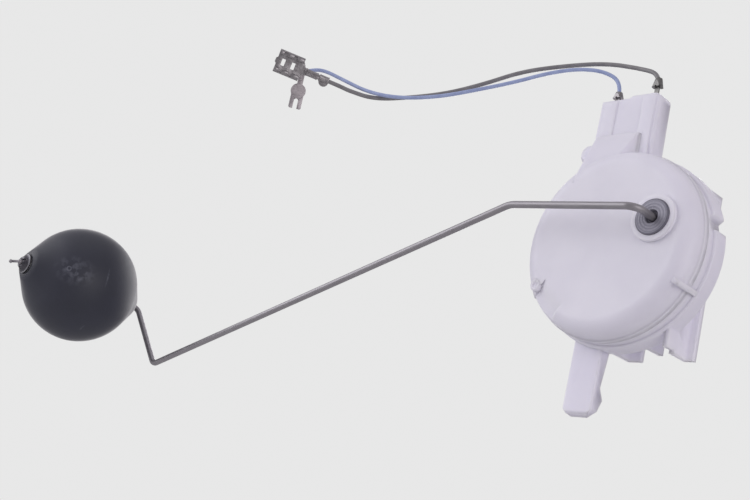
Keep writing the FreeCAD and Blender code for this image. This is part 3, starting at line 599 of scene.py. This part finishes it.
def crimpTube(bm, start, stop, radius, crease):
    # rolled crimp along X whose two wings meet in a crease on top
    bell, foot = spade["bell"], spade["creaseFrom"]
    ring = bmesh.ops.create_circle(bm, segments=spade["crimpSides"], radius=radius)["verts"]
    bmesh.ops.rotate(bm, verts=ring, cent=(0, 0, 0), matrix=Matrix.Rotation(math.pi / 2, 3, "Y"))
    for vert in ring:
        if vert.co.z > radius * foot:
            vert.co.z -= crease * (vert.co.z / radius - foot) / (1 - foot)
    bmesh.ops.scale(bm, verts=ring, vec=(1, bell, bell))
    bmesh.ops.translate(bm, verts=ring, vec=(start, 0, 0))
    bm.edges.index_update()
    row = sorted({edge for vert in ring for edge in vert.link_edges}, key=lambda edge: edge.index)
    lip = (stop - start) * spade["bellLength"]
    for step, stretch in ((lip, 1 / bell), (stop - start - 2 * lip, 1), (lip, bell)):
        row = pulled(bm, row, (step, 0, 0), (1, stretch, stretch))


def makeSpade(material):
    bm = bmesh.new()
    spadeBox(bm)
    for crimp in spade["crimps"]:
        crimpTube(bm, *crimp)
    x, y, radius = spade["wing"]
    disc = bmesh.ops.create_circle(bm, cap_ends=True, segments=spade["wingSides"], radius=radius)["verts"]
    bmesh.ops.translate(bm, verts=disc, vec=(x, y, 0))
    bmesh.ops.transform(bm, matrix=spadePlace(), verts=bm.verts)
    bmesh.ops.recalc_face_normals(bm, faces=bm.faces)
    smooth(bm)
    piece = meshObject("spadeTerminal", bm)
    piece.data.set_sharp_from_angle(angle=math.radians(sharpAngle))
    thick = piece.modifiers.new("sheet", "SOLIDIFY")
    thick.thickness = spade["sheet"] * mm
    thick.offset = 0
    edge = piece.modifiers.new("edge", "BEVEL")
    edge.width = spade["bevel"] * mm
    edge.segments = 1
    edge.limit_method = "ANGLE"
    edge.angle_limit = math.radians(spade["bevelAngle"])
    piece.data.materials.append(material)
    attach(piece, "housing")
    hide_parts("spade_terminal")
    return piece


strands = {
    "start": 5.9,
    "stop": 10.9,
    "radius": 0.2,
    "around": 6,             # strands about the one in the middle
    "spacing": 2.05,         # from middle to middle, in radii
    "stagger": 0.06,         # between the ends of one strand and the next
    "sides": 10,
}


def makeStrands(material):
    # bare strands of the black lead's core, in the receptacle's axes
    start, stop, radius, around = (strands[key] for key in ("start", "stop", "radius", "around"))
    top = Vector((0, 0, radius * strands["spacing"]))
    spots = [Matrix.Rotation(number * math.tau / around, 3, "X") @ top for number in range(around)]
    bm = bmesh.new()
    for number, spot in enumerate(spots + [Vector((0, 0, 0))]):
        rod = bmesh.ops.create_cone(bm, cap_ends=True, segments=strands["sides"], radius1=radius,
                                    radius2=radius, depth=stop - start)["verts"]
        bmesh.ops.rotate(bm, verts=rod, cent=(0, 0, 0), matrix=Matrix.Rotation(math.pi / 2, 3, "Y"))
        middle = (start + stop) / 2 - strands["stagger"] * number
        bmesh.ops.translate(bm, verts=rod, vec=(middle, spot.y, spot.z))
    bmesh.ops.transform(bm, matrix=spadePlace(), verts=bm.verts)
    smooth(bm)
    piece = meshObject("spadeStrands", bm)
    piece.data.set_sharp_from_angle(angle=math.radians(sharpAngle))
    piece.data.materials.append(material)
    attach(piece, "housing")
    return piece


# leads, along the routes of the CAD tubes, with a few points moved by up to 1.5 mm to follow the photo

leadCurve = {
    "order": 3,
    "steps": 10,             # between two points
    "roundness": 6,
}
blackLead = {
    "diameter": 1.4,
    "length": 123.5,
    "points": [(1.0, -12.85, 54.6), (1.0, -12.85, 58.5), (-7.4, -12.5, 61.9), (-19.0, -14.9, 64.4),
               (-32.7, -19.9, 63.1), (-44.3, -25.6, 60.1), (-54.1, -31.4, 54.3), (-63.9, -37.9, 49.1),
               (-73.9, -44.8, 45.7), (-83.3, -51.4, 43.4), (-90.6, -56.6, 45.0), (-93.5, -58.1, 46.2),
               (-95.5, -61.3, 46.6), (-97.7, -64.8, 47.1)],
}
blueLead = {
    "diameter": 1.25,
    "length": 118.8,
    "points": [(-13.0, -12.85, 52.7), (-13.0, -12.85, 57.9), (-18.9, -15.3, 61.4), (-25.5, -20.3, 60.8),
               (-33.9, -24.6, 58.4), (-42.6, -29.3, 54.3), (-52.0, -35.0, 50.3), (-62.5, -41.9, 45.8),
               (-73.1, -49.2, 43.3), (-85.0, -53.2, 45.3), (-96.1, -56.7, 50.2), (-102.9, -59.9, 53.1),
               (-106.4, -62.3, 52.6), (-108.1, -63.8, 51.4)],
}


def makeLead(name, sizes, material, node):
    curve = bpy.data.curves.new(name, "CURVE")
    curve.dimensions = "3D"
    spline = curve.splines.new("NURBS")
    spline.points.add(len(sizes["points"]) - 1)
    for point, place in zip(spline.points, sizes["points"]):
        point.co = (*(Vector(place) * mm), 1)
    spline.order_u = leadCurve["order"]
    spline.use_endpoint_u = True
    spline.resolution_u = leadCurve["steps"]
    curve.bevel_depth = sizes["diameter"] / 2 * mm
    curve.bevel_resolution = leadCurve["roundness"]
    curve.use_fill_caps = True
    piece = bpy.data.objects.new(name, curve)
    bpy.context.scene.collection.objects.link(piece)
    curve.materials.append(material)
    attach(piece, "housing")
    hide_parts(node)


makeCamera()
makeWorld()
makeFloor()
makeLamps()
print("camera and room made")

plastic = milkyPlastic()
tin = surface("tinnedBrass")
steel = surface("platedSteel")
brass = surface("rolledBrass")

spadeTerminal = makeSpade(tin)
spadeStrands = makeStrands(tin)
forkTerminal = dressed("fork_terminal", "forkTerminal", surface("paleTin"), "housing")
makeLead("blackLead", blackLead, surface("blackInsulation"), "black_lead")
makeLead("blueLead", blueLead, surface("blueInsulation"), "blue_lead")
print("leads made")

dressed("rear_housing", "rearHousing", plastic, "housing")
dressed("front_cover", "frontCover", plastic, "housing")
makeLug(plastic)
makeShoulderRib(plastic)
dressed("front_bush", "frontBush", bushMetal(), "housing")
dressed("float_arm", "floatArm", surface("drawnSteel"), "arm")
dressed("float_ball", "floatBall", floatFoam(), "float")
dressed("push_nut", "pushNut", nutSteel(), "arm")

nodeMaterials = {
    "signal_strip": tin,
    "ground_strip": surface("dullTin"),
    "wiper_blade": brass,
    "wiper_contact": brass,
    "collector_ring": brass,
    "ground_spring": brass,
    "spring_rivet": steel,
    "card_screw_upper": steel,
    "card_screw_lower": steel,
    "retaining_clip": steel,
    "rear_bush": steel,
    "resistor_winding": steel,
    "resistor_card": surface("cardLaminate"),
    "rotor_hub": plastic,
    "thrust_washer": plastic,
}
for node, material in nodeMaterials.items():
    nodes[node].data.materials.clear()
    nodes[node].data.materials.append(material)
print("pieces dressed")
